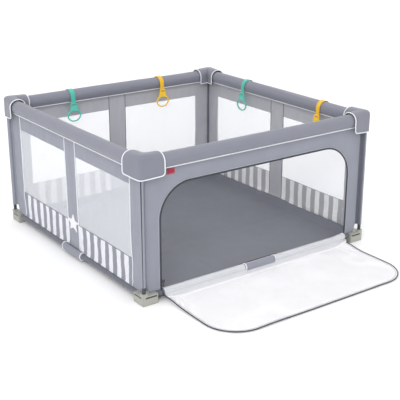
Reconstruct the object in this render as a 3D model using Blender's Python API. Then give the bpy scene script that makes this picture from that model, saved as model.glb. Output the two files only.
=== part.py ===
"""Square fabric playpen with a zipped door that folds down.

A knock-down steel-tube frame carries a fabric cover. The frame is four posts
and eight split rails, held by four foot brackets and four top connectors. The
cover is four side panels, four post sleeves, rail pads, bottom rail sleeves,
corner caps, a floor mat and a door flap. Four pull rings hang inside, from
straps on the back and right rails.

Metres, +Z up. The origin is the pen's centre on the floor and the door faces
-Y. A piece that repeats is modelled once, on the front side or at the front
left corner, and its copies are turned about Z.
"""

import math

import bmesh
import bpy
from mathutils import Matrix, Vector

# Driving dimensions
FOOTPRINT = 1.270          # outer face to outer face of the foot brackets
TOP_RAIL_Z = 0.613         # axis of the top rails
BOTTOM_RAIL_Z = 0.033      # axis of the bottom rails
RAIL_INSET = 0.023         # rail axes and panels, in from the footprint
POST_INSET = 0.0115        # post axes, in from the footprint
GAP = 0.0004               # between pieces that touch

# Steel tubes
POST_R = 0.008
RAIL_R = 0.011
TUBE_WALL = 0.0012
SWAGE_R = RAIL_R - TUBE_WALL - GAP
SWAGE_LENGTH = 0.060

# Moulded corners
BRACKET_LEG = 0.076        # from the footprint corner, along each side
BRACKET_WIDTH = 0.044
BRACKET_HEIGHT = 0.046
COLLAR_HEIGHT = 0.056
COLLAR_WIDTH = 0.024
CONNECTOR_SIZE = 0.040     # width and height of a top connector's legs
CONNECTOR_LEG = 0.054      # from the post's outer side, along each rail

# Fabric cover
PAD_R = 0.034
PAD_END_GAP = 0.064        # from the footprint corner to the pad's end
FABRIC = 0.0016
SLEEVE_R = 0.013
PATCH_R = 0.024            # thick patch over the joint in a bottom rail
PATCH_HALF = 0.080
PANEL_HALF = 0.603
MAT_HALF = 0.587
MAT_THICKNESS = 0.020

# Corner caps
CAP_WALL = 0.003
CAP_TOP_Z = 0.656
CAP_INNER_Z = 0.579        # hem on the pen's inner side
CAP_LENGTH = 0.105         # from the footprint corner, along each rail

# Door
DOOR_HALF = 0.528
DOOR_TOP_Z = 0.500
DOOR_CORNER_R = 0.150
FLAP_CLEARANCE = 0.006
FLAP_THICKNESS = 0.003
FLAP_Z = 0.002
FLAP_ROOT_Y = -0.648
FLAP_AXIS_Y = -0.5935      # turns the flat flap exactly into the doorway
FLAP_AXIS_Z = 0.0265

# Pull rings: side, distance along that side from its middle, colour
RINGS = {
    "back_left": ("back", 0.281, "teal"),
    "back_right": ("back", -0.269, "yellow"),
    "right_rear": ("right", 0.251, "teal"),
    "right_front": ("right", -0.343, "yellow"),
}
STRAP_WIDTH = 0.026
STRAP_THICKNESS = 0.002
RING_PIVOT_OUT = 0.0405    # pivot, in from the rail axis
RING_PIVOT_DOWN = 0.035    # pivot, below the rail axis
RING_DROP = 0.063          # pivot to the ring's centre
RING_WIDE, RING_TALL = 0.040, 0.033        # half sizes of the oval ring
RING_BAR = 0.0075
RING_THICKNESS = 0.005

# Zipper slider and tag
SLIDER_Z = 0.085
SLIDER_SIZE = (0.017, 0.0038, 0.014)
TAG_SIZE = (0.038, 0.0012, 0.024)
TAG_X = -0.476

# Derived places
HALF = FOOTPRINT / 2
RAIL_LINE = HALF - RAIL_INSET
POST_LINE = HALF - POST_INSET
RAIL_END = RAIL_LINE - RAIL_R - 0.002      # clear of the rail round the corner
PAD_HALF = HALF - PAD_END_GAP
PANEL_TOP_Z = TOP_RAIL_Z - PAD_R - GAP
PANEL_BOTTOM_Z = BOTTOM_RAIL_Z + SLEEVE_R + GAP

SIDES = {"front": 0, "right": 90, "back": 180, "left": 270}
CORNERS = {"front_left": 0, "front_right": 90, "back_right": 180, "back_left": 270}
ROUND = 32                 # facets around a turned piece

PALETTE = {
    "steel": ((0.09, 0.09, 0.10), 0.35, 0.9),
    "moulding": ((0.62, 0.62, 0.57), 0.50, 0.0),
    "pad_fabric": ((0.36, 0.37, 0.41), 0.80, 0.0),
    "panel_fabric": ((0.42, 0.44, 0.49), 0.85, 0.0),
    "sleeve_fabric": ((0.20, 0.21, 0.25), 0.85, 0.0),
    "mat_fabric": ((0.23, 0.24, 0.28), 0.80, 0.0),
    "mesh_fabric": ((0.88, 0.88, 0.90), 0.70, 0.0),
    "teal": ((0.07, 0.52, 0.41), 0.45, 0.0),
    "yellow": ((0.87, 0.52, 0.01), 0.45, 0.0),
    "zinc": ((0.10, 0.10, 0.12), 0.35, 0.8),
    "tag": ((0.50, 0.01, 0.06), 0.60, 0.0),
}


def clear_scene():
    for old in list(bpy.data.objects):
        bpy.data.objects.remove(old, do_unlink=True)


def material(name):
    """The material of that name in the palette, made once."""
    found = bpy.data.materials.get(name)
    if found:
        return found
    colour, roughness, metallic = PALETTE[name]
    made = bpy.data.materials.new(name)
    made.use_nodes = True
    shader = made.node_tree.nodes["Principled BSDF"]
    shader.inputs["Base Color"].default_value = (*colour, 1.0)
    shader.inputs["Roughness"].default_value = roughness
    shader.inputs["Metallic"].default_value = metallic
    return made


def place(name, mesh, skin, at=(0.0, 0.0, 0.0), turn=0):
    """An object at a place on the front side, then turned about the pen's centre."""
    spin = Matrix.Rotation(math.radians(turn), 4, "Z")
    item = bpy.data.objects.new(name, mesh.copy())
    item.location = spin @ Vector(at)
    item.rotation_euler.z = math.radians(turn)
    item.data.materials.clear()
    item.data.materials.append(material(skin))
    bpy.context.collection.objects.link(item)
    return item


def finished(bm, name):
    """A closed mesh with outward faces, smooth where it is round."""
    bmesh.ops.recalc_face_normals(bm, faces=bm.faces)
    mesh = bpy.data.meshes.new(name)
    bm.to_mesh(mesh)
    bm.free()
    mesh.shade_smooth()
    mesh.set_sharp_from_angle(angle=math.radians(35))
    return mesh


def turned(name, profile, axis="X"):
    """A closed profile of (along, radius) points, revolved about an axis."""
    bm = bmesh.new()
    loops = []
    for step in range(ROUND):
        angle = math.tau * step / ROUND
        side, up = math.cos(angle), math.sin(angle)
        loop = []
        for along, radius in profile:
            point = (along, radius * side, radius * up)
            if axis == "Z":
                point = (radius * side, radius * up, along)
            loop.append(bm.verts.new(point))
        loops.append(loop)
    count = len(profile)
    for step in range(ROUND):
        here, after = loops[step], loops[(step + 1) % ROUND]
        for i in range(count):
            j = (i + 1) % count
            bm.faces.new((here[i], here[j], after[j], after[i]))
    return finished(bm, name)


def prism(name, outline, low, high, axis, bevel=0.0):
    """An outline of 2-D points extruded along an axis from low to high."""
    order = {
        "X": lambda a, b, t: (t, a, b),
        "Y": lambda a, b, t: (a, t, b),
        "Z": lambda a, b, t: (a, b, t),
    }[axis]
    bm = bmesh.new()
    base = bm.faces.new([bm.verts.new(order(a, b, low)) for a, b in outline])
    grown = bmesh.ops.extrude_face_region(bm, geom=[base])
    moved = [g for g in grown["geom"] if isinstance(g, bmesh.types.BMVert)]
    bmesh.ops.translate(bm, verts=moved, vec=order(0, 0, high - low))
    if bevel:
        bmesh.ops.recalc_face_normals(bm, faces=bm.faces)
        bmesh.ops.bevel(bm, geom=bm.edges[:], offset=bevel, segments=2, affect="EDGES")
    return finished(bm, name)


def arc(centre, radius, start, end, steps):
    """Points on a circle, from a start to an end angle in degrees."""
    points = []
    for step in range(steps + 1):
        angle = math.radians(start + (end - start) * step / steps)
        points.append((centre[0] + radius * math.cos(angle), centre[1] + radius * math.sin(angle)))
    return points


def combined(name, body, tools, operation):
    """The mesh of a body with every tool joined on or cut away."""
    base = bpy.data.objects.new(name, body)
    helpers = [base] + [bpy.data.objects.new("tool", tool) for tool in tools]
    for helper in helpers:
        bpy.context.collection.objects.link(helper)
    for helper in helpers[1:]:
        step = base.modifiers.new("tool", "BOOLEAN")
        step.operation = operation
        step.object = helper
    bpy.context.view_layer.update()
    graph = bpy.context.evaluated_depsgraph_get()
    mesh = bpy.data.meshes.new_from_object(base.evaluated_get(graph))
    for helper in helpers:
        bpy.data.objects.remove(helper, do_unlink=True)
    mesh.shade_smooth()
    mesh.set_sharp_from_angle(angle=math.radians(35))
    return mesh


def moved(mesh, offset):
    mesh.transform(Matrix.Translation(offset))
    return mesh


def tube(name, low, high, radius, axis="X"):
    """A steel tube with square ends."""
    inner = radius - TUBE_WALL
    return turned(name, [(low, radius), (high, radius), (high, inner), (low, inner)], axis)


def socket(radius, low, high, axis):
    """A round cutter that leaves a sliding fit around a tube."""
    circle = arc((0.0, 0.0), radius + GAP, 0, 360 - 360 / ROUND, ROUND - 1)
    return prism("socket", circle, low, high, axis)


# Frame

def plug_half():
    """Left half of a split rail, with its reduced end in the joint."""
    inner = SWAGE_R - TUBE_WALL
    profile = [
        (-RAIL_END, RAIL_R), (-GAP, RAIL_R), (-GAP, SWAGE_R), (SWAGE_LENGTH, SWAGE_R),
        (SWAGE_LENGTH, inner), (-RAIL_END, inner),
    ]
    return turned("plug_half", profile)


def socket_half():
    """Right half of a split rail, open to take the reduced end."""
    return tube("socket_half", GAP, RAIL_END, RAIL_R)


def build_rails():
    plug, open_half = plug_half(), socket_half()
    for side, turn in SIDES.items():
        for level, height in (("top", TOP_RAIL_Z), ("bottom", BOTTOM_RAIL_Z)):
            at = (0.0, -RAIL_LINE, height)
            place(f"{level}_rail_{side}_plug_half", plug, "steel", at, turn)
            place(f"{level}_rail_{side}_socket_half", open_half, "steel", at, turn)


def build_posts():
    mesh = tube("post", 0.012, TOP_RAIL_Z - 0.010, POST_R, "Z")
    for corner, turn in CORNERS.items():
        place(f"post_{corner}", mesh, "steel", (-POST_LINE, -POST_LINE, 0.0), turn)


def angle_outline(outer, leg, width):
    """An L from the outer corner, with legs along +X and +Y."""
    inner = outer + width
    end = outer + leg
    return [(outer, outer), (end, outer), (end, inner), (inner, inner), (inner, end), (outer, end)]


def foot_bracket():
    """Corner moulding: sockets for two rails and a post, and a moulded slot on each face."""
    block = prism("block", angle_outline(-HALF, BRACKET_LEG, BRACKET_WIDTH), 0.0, BRACKET_HEIGHT, "Z", 0.002)
    near, far = -HALF + 0.0001, -HALF + COLLAR_WIDTH
    square = [(near, near), (far, near), (far, far), (near, far)]
    collar = prism("collar", square, BRACKET_HEIGHT / 2, COLLAR_HEIGHT, "Z", 0.0015)
    whole = combined("bracket", block, [collar], "UNION")
    mouth = -HALF + BRACKET_LEG
    stop = -RAIL_END - GAP
    along_x = moved(socket(RAIL_R, stop, mouth + 0.01, "X"), (0, -RAIL_LINE, BOTTOM_RAIL_Z))
    along_y = moved(socket(RAIL_R, stop, mouth + 0.01, "Y"), (-RAIL_LINE, 0, BOTTOM_RAIL_Z))
    upright = moved(socket(POST_R, 0.011, COLLAR_HEIGHT + 0.01, "Z"), (-POST_LINE, -POST_LINE, 0))
    slot_low, slot_high = BRACKET_HEIGHT - 0.014, BRACKET_HEIGHT - 0.0065
    start, end, deep = -HALF + 0.014, mouth - 0.006, -HALF + 0.008
    out = -HALF - 0.01
    slot_x = prism("slot", [(start, out), (end, out), (end, deep), (start, deep)], slot_low, slot_high, "Z")
    slot_y = prism("slot", [(out, start), (deep, start), (deep, end), (out, end)], slot_low, slot_high, "Z")
    return combined("foot_bracket", whole, [along_x, along_y, upright, slot_x, slot_y], "DIFFERENCE")


def top_connector():
    """Three-way moulding: the two top rails and the post push into it."""
    outer = -RAIL_LINE - CONNECTOR_SIZE / 2
    low, high = TOP_RAIL_Z - CONNECTOR_SIZE / 2, TOP_RAIL_Z + CONNECTOR_SIZE / 2
    block = prism("block", angle_outline(outer, CONNECTOR_LEG, CONNECTOR_SIZE), low, high, "Z", 0.002)
    near, far = outer + 0.0001, outer + COLLAR_WIDTH
    square = [(near, near), (far, near), (far, far), (near, far)]
    collar = prism("collar", square, low - 0.018, TOP_RAIL_Z, "Z", 0.0015)
    whole = combined("connector", block, [collar], "UNION")
    mouth = outer + CONNECTOR_LEG
    stop = -RAIL_END - GAP
    along_x = moved(socket(RAIL_R, stop, mouth + 0.01, "X"), (0, -RAIL_LINE, TOP_RAIL_Z))
    along_y = moved(socket(RAIL_R, stop, mouth + 0.01, "Y"), (-RAIL_LINE, 0, TOP_RAIL_Z))
    upright = moved(socket(POST_R, low - 0.03, TOP_RAIL_Z - 0.009, "Z"), (-POST_LINE, -POST_LINE, 0))
    return combined("top_connector", whole, [along_x, along_y, upright], "DIFFERENCE")


def build_mouldings():
    bracket = foot_bracket()
    connector = top_connector()
    for corner, turn in CORNERS.items():
        place(f"foot_bracket_{corner}", bracket, "moulding", turn=turn)
        place(f"top_connector_{corner}", connector, "moulding", turn=turn)


# Fabric cover

def rail_pad():
    """Foam tube in its cover, with rounded ends."""
    inner, round_r = RAIL_R + GAP, 0.006
    right = arc((PAD_HALF - round_r, PAD_R - round_r), round_r, 90, 0, 4)
    left = arc((round_r - PAD_HALF, PAD_R - round_r), round_r, 180, 90, 4)
    return turned("pad", left + right + [(PAD_HALF, inner), (-PAD_HALF, inner)])


def bottom_sleeve():
    """Fabric sleeve of a bottom rail, with the thick patch over its joint."""
    inner, end, edge = RAIL_R + GAP, HALF - BRACKET_LEG - GAP, 0.004
    low_left = [(-end, SLEEVE_R), (-PATCH_HALF - edge, SLEEVE_R)]
    left = arc((edge - PATCH_HALF, PATCH_R - edge), edge, 180, 90, 3)
    right = arc((PATCH_HALF - edge, PATCH_R - edge), edge, 90, 0, 3)
    low_right = [(PATCH_HALF + edge, SLEEVE_R), (end, SLEEVE_R)]
    return turned("sleeve", low_left + left + right + low_right + [(end, inner), (-end, inner)])


def side_panel():
    """Panel with a notch at the foot for the thick patch, and cut lower corners."""
    notch, notch_top = PATCH_HALF + 0.006, BOTTOM_RAIL_Z + PATCH_R + GAP
    right = [
        (notch, notch_top), (notch, PANEL_BOTTOM_Z), (PANEL_HALF - 0.025, PANEL_BOTTOM_Z),
        (PANEL_HALF, 0.100), (PANEL_HALF, PANEL_TOP_Z),
    ]
    left = [(-x, z) for x, z in reversed(right)]
    return prism("panel", right + left, -FABRIC / 2, FABRIC / 2, "Y")


def doorway(half, top, corner_r, foot):
    """The door's arched outline, from its right foot over to its left foot."""
    right = arc((half - corner_r, top - corner_r), corner_r, 0, 90, 10)
    left = arc((corner_r - half, top - corner_r), corner_r, 90, 180, 10)
    return [(half, foot)] + right + left + [(-half, foot)]


def door_panel():
    """Front panel: an arch of fabric around the doorway."""
    outside = [
        (-PANEL_HALF + 0.025, PANEL_BOTTOM_Z), (-PANEL_HALF, 0.100), (-PANEL_HALF, PANEL_TOP_Z),
        (PANEL_HALF, PANEL_TOP_Z), (PANEL_HALF, 0.100), (PANEL_HALF - 0.025, PANEL_BOTTOM_Z),
    ]
    inside = doorway(DOOR_HALF, DOOR_TOP_Z, DOOR_CORNER_R, PANEL_BOTTOM_Z)
    return prism("door_panel", outside + inside, -FABRIC / 2, FABRIC / 2, "Y")


def build_panels():
    closed = side_panel()
    for side, turn in SIDES.items():
        mesh = door_panel() if side == "front" else closed
        place(f"side_panel_{side}", mesh, "panel_fabric", (0.0, -RAIL_LINE, 0.0), turn)
        place(f"rail_pad_{side}", rail_pad(), "pad_fabric", (0.0, -RAIL_LINE, TOP_RAIL_Z), turn)
        place(f"bottom_sleeve_{side}", bottom_sleeve(), "sleeve_fabric", (0.0, -RAIL_LINE, BOTTOM_RAIL_Z), turn)


def post_sleeve():
    """Keyhole-shaped sleeve: a ring round the post and a web in to the panels' corner."""
    low, high = 0.083, TOP_RAIL_Z - CONNECTOR_SIZE / 2 - 0.020
    outer = POST_R + GAP + FABRIC
    ring = arc((0.0, 0.0), outer, 10, 350, 24)
    web = [(0.0175, -FABRIC), (0.0175, -0.0055), (0.0215, -0.0055)]
    outline = ring + web + [(a, -b) for a, b in reversed(web)]
    solid = prism("sleeve", outline, low, high, "Z")
    solid.transform(Matrix.Rotation(math.radians(45), 4, "Z"))
    bore = socket(POST_R, low - 0.01, high + 0.01, "Z")
    return combined("post_sleeve", solid, [bore], "DIFFERENCE")


def arch_section(half_width, top, bottom, inner_bottom, shoulder):
    """Inverted-U section of a corner cap, as (outward, height) points; its inner side is shorter."""
    outer = arc((half_width - shoulder, top - shoulder), shoulder, 0, 90, 6)
    inner = arc((shoulder - half_width, top - shoulder), shoulder, 90, 180, 6)
    return [(half_width, bottom)] + outer + inner + [(-half_width, inner_bottom)]


def cap_solid(name, shrink, extra):
    """The cap's section run along the front rail, mitred round the corner, and along the left rail."""
    reach = CAP_LENGTH - RAIL_INSET
    top, round_r = CAP_TOP_Z - shrink, 0.034 - shrink
    inner_hem = CAP_INNER_Z - extra
    stations = [
        (reach + extra, 0.0400, 0.582),
        (reach - 0.014, 0.0400, 0.566),
        (reach - 0.040, 0.0390, 0.556),
    ]
    bm = bmesh.new()
    loops = []
    for distance, half_width, bottom in stations:
        section = arch_section(half_width - shrink, top, bottom - extra, inner_hem, round_r)
        loops.append([(distance, -out, height) for out, height in section])
    mitre = arch_section(0.028 - shrink, top, 0.553 - extra, inner_hem, 0.020 - shrink)
    loops.append([(-out, -out, height) for out, height in mitre])
    for distance, half_width, bottom in reversed(stations):
        section = arch_section(half_width - shrink, top, bottom - extra, inner_hem, round_r)
        loops.append([(-out, distance, height) for out, height in section])
    rings = [[bm.verts.new(point) for point in loop] for loop in loops]
    count = len(rings[0])
    for here, after in zip(rings, rings[1:]):
        for i in range(count):
            j = (i + 1) % count
            bm.faces.new((here[i], here[j], after[j], after[i]))
    bm.faces.new(rings[0])
    bm.faces.new(list(reversed(rings[-1])))
    return finished(bm, name)


def build_corner_covers():
    sleeve = post_sleeve()
    cap = combined("cap", cap_solid("outer", 0.0, 0.0), [cap_solid("inner", CAP_WALL, 0.02)], "DIFFERENCE")
    for corner, turn in CORNERS.items():
        place(f"post_sleeve_{corner}", sleeve, "sleeve_fabric", (-POST_LINE, -POST_LINE, 0.0), turn)
        place(f"corner_cap_{corner}", cap, "pad_fabric", (-RAIL_LINE, -RAIL_LINE, 0.0), turn)


def build_mat():
    corners = [(-MAT_HALF, -MAT_HALF), (MAT_HALF, -MAT_HALF), (MAT_HALF, MAT_HALF), (-MAT_HALF, MAT_HALF)]
    place("floor_mat", prism("mat", corners, 0.0, MAT_THICKNESS, "Z"), "mat_fabric")


# Door

def build_flap():
    """Door flap, open flat on the floor; its origin is on its hinge line."""
    closed_top = DOOR_TOP_Z - FLAP_CLEARANCE / 2
    reach = closed_top - FLAP_AXIS_Z
    root = FLAP_ROOT_Y - FLAP_AXIS_Y
    arch = doorway(DOOR_HALF - FLAP_CLEARANCE, reach, DOOR_CORNER_R, -root)
    outline = [(x, -y) for x, y in arch]
    low = FLAP_Z - FLAP_AXIS_Z
    mesh = prism("flap", outline, low, low + FLAP_THICKNESS, "Z")
    place("door_flap", mesh, "mesh_fabric", (0.0, FLAP_AXIS_Y, FLAP_AXIS_Z))


def build_slider():
    """Zipper slider on the doorway's left edge: a front plate, a heel on the panel and a pull tab."""
    wide, deep, tall = SLIDER_SIZE
    heel, stand = 0.0055, 0.0058
    left = -wide / 2
    section = [
        (left, 0.0), (left + heel, 0.0), (left + heel, -stand), (wide / 2, -stand),
        (wide / 2, -stand - deep), (left, -stand - deep),
    ]
    body = prism("body", section, -tall / 2, tall / 2, "Z", 0.0006)
    tab = prism("tab", [(-0.0035, 0.0), (0.0035, 0.0), (0.0045, -0.026), (-0.0045, -0.026)], 0.0, 0.0015, "Y")
    moved(tab, (0.0, -stand - deep - 0.001, 0.002))
    mesh = combined("slider", body, [tab], "UNION")
    place("zipper_slider", mesh, "zinc", (-DOOR_HALF + 0.002, -RAIL_LINE - FABRIC / 2 - GAP, SLIDER_Z))


def build_tag():
    wide, deep, tall = TAG_SIZE
    outline = [(-wide / 2, 0.0), (wide / 2, 0.0), (wide / 2, -tall), (-wide / 2, -tall)]
    mesh = prism("tag", outline, -deep, 0.0, "Y")
    place("side_tag", mesh, "tag", (TAG_X, -RAIL_LINE - FABRIC / 2 - GAP, TOP_RAIL_Z - 0.041))


# Pull rings

def strap():
    """Webbing over the rail pad, sewn low on its outer side, with an eye for the ring's bar."""
    inner, outer = PAD_R + GAP, PAD_R + GAP + STRAP_THICKNESS
    half, down = STRAP_WIDTH / 2, -RING_PIVOT_DOWN
    band = arc((0, 0), outer, -4, 235, 30) + arc((0, 0), inner, 235, -4, 30)
    loop = prism("loop", band, -half, half, "X")
    tail_outline = [(outer - 0.0018, 0.0), (outer - 0.0001, 0.0), (outer + 0.0005, down), (outer - 0.0018, down)]
    tail = prism("tail", tail_outline, -half, half, "X")
    eye = moved(prism("eye", arc((0, 0), 0.0055, 0, 345, 23), -half, half, "X"), (0, RING_PIVOT_OUT, down))
    joined = combined("strap", loop, [tail, eye], "UNION")
    bore = moved(prism("bore", arc((0, 0), 0.0036, 0, 340, 17), -0.03, 0.03, "X"), (0, RING_PIVOT_OUT, down))
    return combined("strap", joined, [bore], "DIFFERENCE")


def oval(wide, tall, start, end, steps):
    """Points on the ring's oval, from a start to an end angle in degrees."""
    return [(wide * x, tall * y - RING_DROP) for x, y in arc((0, 0), 1.0, start, end, steps)]


def ring():
    """Oval ring on a flared neck; the bar above its slot turns in the strap's eye."""
    bar, slot_half, slot_low = 0.0015, STRAP_WIDTH / 2 + 0.0012, -0.0085
    neck, flare = slot_half + 0.0033, 0.0215
    rim = oval(RING_WIDE, RING_TALL, 56, -236, 44)
    outline = [(-neck, bar), (neck, bar), (neck, slot_low - 0.002), (flare, -0.030)] + rim
    outline += [(-flare, -0.030), (-neck, slot_low - 0.002)]
    half = RING_THICKNESS / 2
    plate = prism("plate", outline, -half, half, "Y")
    corners = [(-slot_half, -bar), (slot_half, -bar), (slot_half, slot_low), (-slot_half, slot_low)]
    slot = prism("slot", corners, -0.01, 0.01, "Y")
    hole = prism("hole", oval(RING_WIDE - RING_BAR, RING_TALL - RING_BAR, 36, -314, 35), -0.01, 0.01, "Y")
    return combined("ring", plate, [slot, hole], "DIFFERENCE")


def build_rings():
    for name, (side, along, colour) in RINGS.items():
        turn = SIDES[side]
        place(f"strap_{name}", strap(), colour, (along, -RAIL_LINE, TOP_RAIL_Z), turn)
        pivot = (along, -RAIL_LINE + RING_PIVOT_OUT, TOP_RAIL_Z - RING_PIVOT_DOWN)
        place(f"pull_ring_{name}", ring(), colour, pivot, turn)


def main():
    clear_scene()
    build_posts()
    build_rails()
    build_mouldings()
    build_panels()
    build_corner_covers()
    build_mat()
    build_flap()
    build_slider()
    build_tag()
    build_rings()


main()
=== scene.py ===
"""Looks for the square fabric playpen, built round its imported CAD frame.

Each fabric piece of the frame is replaced by a detailed one. A piece is modelled
on the front side, or at the front left corner, and turned about Z to its place.
Metres, +Z up, the pen's centre on the floor at the origin.
"""

import math

import bmesh
import bpy
import numpy as np
from mathutils import Matrix, Vector, noise


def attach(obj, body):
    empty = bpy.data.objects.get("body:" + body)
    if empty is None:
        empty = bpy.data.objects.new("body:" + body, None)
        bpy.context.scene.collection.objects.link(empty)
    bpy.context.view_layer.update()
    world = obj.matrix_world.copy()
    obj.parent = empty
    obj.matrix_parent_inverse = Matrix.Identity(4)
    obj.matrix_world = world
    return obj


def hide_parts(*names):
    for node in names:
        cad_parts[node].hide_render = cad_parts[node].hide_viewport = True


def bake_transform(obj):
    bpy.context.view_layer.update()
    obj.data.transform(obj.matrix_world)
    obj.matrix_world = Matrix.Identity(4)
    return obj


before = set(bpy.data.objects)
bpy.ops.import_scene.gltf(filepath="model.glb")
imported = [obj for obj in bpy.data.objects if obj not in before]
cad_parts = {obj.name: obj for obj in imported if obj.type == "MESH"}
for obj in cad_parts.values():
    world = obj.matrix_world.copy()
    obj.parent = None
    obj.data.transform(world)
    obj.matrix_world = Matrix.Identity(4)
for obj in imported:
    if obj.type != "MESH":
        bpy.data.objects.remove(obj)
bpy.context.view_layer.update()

# Places that the CAD frame fixes
RAIL_LINE = 0.612          # rail axes and panels, out from the centre
TOP_Z, BOTTOM_Z = 0.613, 0.033
POST_LINE = 0.6235
PAD_R, SLEEVE_R, PATCH_R = 0.034, 0.013, 0.024
PAD_FLAT = 0.0305          # pad axis down to its flattened underside
PAD_HALF, BOTTOM_SLEEVE_HALF, PATCH_HALF = 0.5705, 0.5725, 0.088
PANEL_HALF = 0.606
PANEL_FOOT, PANEL_TOP = 0.0465, 0.5828
WINDOW_TOP, BAND_TOP = 0.505, 0.176
WINDOW_OUTER, STRIP_HALF = 0.519, 0.050
DOOR_HALF, DOOR_TOP, DOOR_R = 0.528, 0.500, 0.150
FLAP_HALF, FLAP_ROOT, FLAP_FRONT, FLAP_R = 0.520, -0.648, -1.0645, 0.150
FLAP_LENGTH = FLAP_ROOT - FLAP_FRONT
CUT_TOP, CUT_WIDTH = 0.088, 0.015        # cut lower corners of the panels
ROOT_WRAP, ROOT_ROWS = 12, 20            # rows of the flap's net round the rail, and in its whole root
ZIP_OUT, ZIP_OVER = 0.0025, 0.0045       # the panel's teeth, past the doorway's sides and its top
ZIP_FRONT, ZIP_R = -0.0026, 0.0027       # those teeth before the panel, and the radius of the flap's teeth
STRIPE_PERIOD = 0.067
WEAVE_PITCH, WEAVE_DEPTH = 0.0016, 0.00025
CAP_TOP, CAP_INNER, CAP_REACH = 0.6565, 0.579, 0.083
CAP_FOOT, CAP_LIP = 0.5535, 0.013        # outer hem at the corner, and how far it curls up at a cuff
CAP_PIVOT = 0.024                        # where a cap's legs end and its round corner starts
PIPING_R = 0.0026
RING_DROP, RING_WIDE, RING_TALL, RING_BAR = 0.063, 0.040, 0.033, 0.0075
RING_IN, RING_BELOW = 0.0405, 0.035      # a ring's pivot, inward from the rail's axis and down
RING_EDGE = 0.0016                       # radius of the rounded edges of a ring

SIDES = {"front": 0, "right": 90, "back": 180, "left": 270}
CORNERS = {"front_left": 0, "front_right": 90, "back_right": 180, "back_left": 270}
RINGS = {
    "back_left": ("back", 0.281, "teal"),
    "back_right": ("back", -0.269, "yellow"),
    "right_rear": ("right", 0.251, "teal"),
    "right_front": ("right", -0.343, "yellow"),
}


# Materials

def principled(name, **sockets):
    """A new material and its shader, with constants on the shader's own sockets."""
    made = bpy.data.materials.new(name)
    made.use_nodes = True
    shader = made.node_tree.nodes["Principled BSDF"]
    for socket, value in sockets.items():
        shader.inputs[socket.replace("_", " ")].default_value = value
    return made, made.node_tree, shader


def node(tree, kind, **values):
    """A node with its properties and unlinked inputs set by name."""
    made = tree.nodes.new(kind)
    for key, value in values.items():
        if hasattr(made, key):
            setattr(made, key, value)
        else:
            made.inputs[key.replace("_", " ")].default_value = value
    return made


def object_place(tree):
    """The socket that gives a point's place in the piece's own axes."""
    return tree.nodes.new("ShaderNodeTexCoord").outputs["Object"]


def math_node(tree, operation, first, second=0.0):
    """The result of one sum; each input is a socket or a number."""
    made = tree.nodes.new("ShaderNodeMath")
    made.operation = operation
    for slot, value in zip(made.inputs, (first, second)):
        if isinstance(value, (int, float)):
            slot.default_value = value
        else:
            tree.links.new(value, slot)
    return made.outputs[0]


def texture(tree, kind, **values):
    """A texture laid out in the piece's own axes."""
    made = node(tree, kind, **values)
    tree.links.new(object_place(tree), made.inputs["Vector"])
    return made


def clamped(tree, value):
    """The socket's value, held between 0 and 1."""
    made = tree.nodes.new("ShaderNodeClamp")
    tree.links.new(value, made.inputs[0])
    return made.outputs[0]


def mix(tree, factor, first, second):
    """A colour mix; each input is a socket or a colour."""
    made = tree.nodes.new("ShaderNodeMix")
    made.data_type = "RGBA"
    for socket, value in (("Factor", factor), ("A", first), ("B", second)):
        slot = made.inputs[socket]
        if isinstance(value, bpy.types.NodeSocket):
            tree.links.new(value, slot)
        elif isinstance(value, tuple):
            slot.default_value = (*value, 1.0)
        else:
            slot.default_value = value
    return [s for s in made.outputs if s.type == "RGBA"][0]


def mottle(tree, colour, scale, amount):
    """The colour, lighter and darker in soft patches."""
    patches = texture(tree, "ShaderNodeTexNoise", Scale=scale, Detail=4.0)
    dark = tuple(c * (1 - amount) for c in colour)
    light = tuple(min(1.0, c * (1 + amount)) for c in colour)
    return mix(tree, patches.outputs["Fac"], dark, light)


def weave_height(tree, pitch):
    """Threads along all three axes, so that two of them cross on any flat side."""
    total = 0.0
    for axis in "XYZ":
        wave = texture(tree, "ShaderNodeTexWave", bands_direction=axis, Scale=0.314 / pitch, Distortion=0.6)
        total = math_node(tree, "ADD", wave.outputs["Fac"], total)
    return total


def dress(tree, shader, colour, height, depth):
    """Gives the shader its colour and a relief of that depth."""
    tree.links.new(colour, shader.inputs["Base Color"])
    bump = node(tree, "ShaderNodeBump", Distance=depth, Strength=0.6)
    tree.links.new(height, bump.inputs["Height"])
    tree.links.new(bump.outputs["Normal"], shader.inputs["Normal"])


def cloth(name, colour, pitch=WEAVE_PITCH, amount=0.07, roughness=0.8, sheen=0.25):
    """Woven fabric with its threads that pitch apart, mottled by that amount."""
    made, tree, shader = principled(name, Roughness=roughness, Sheen_Weight=sheen, Sheen_Roughness=0.5)
    height = weave_height(tree, pitch)
    thread = math_node(tree, "MULTIPLY", height, 0.16)
    body = mottle(tree, colour, 14.0, amount)
    dress(tree, shader, mix(tree, thread, body, tuple(c * 0.72 for c in colour)), height, WEAVE_DEPTH)
    return made


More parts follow.
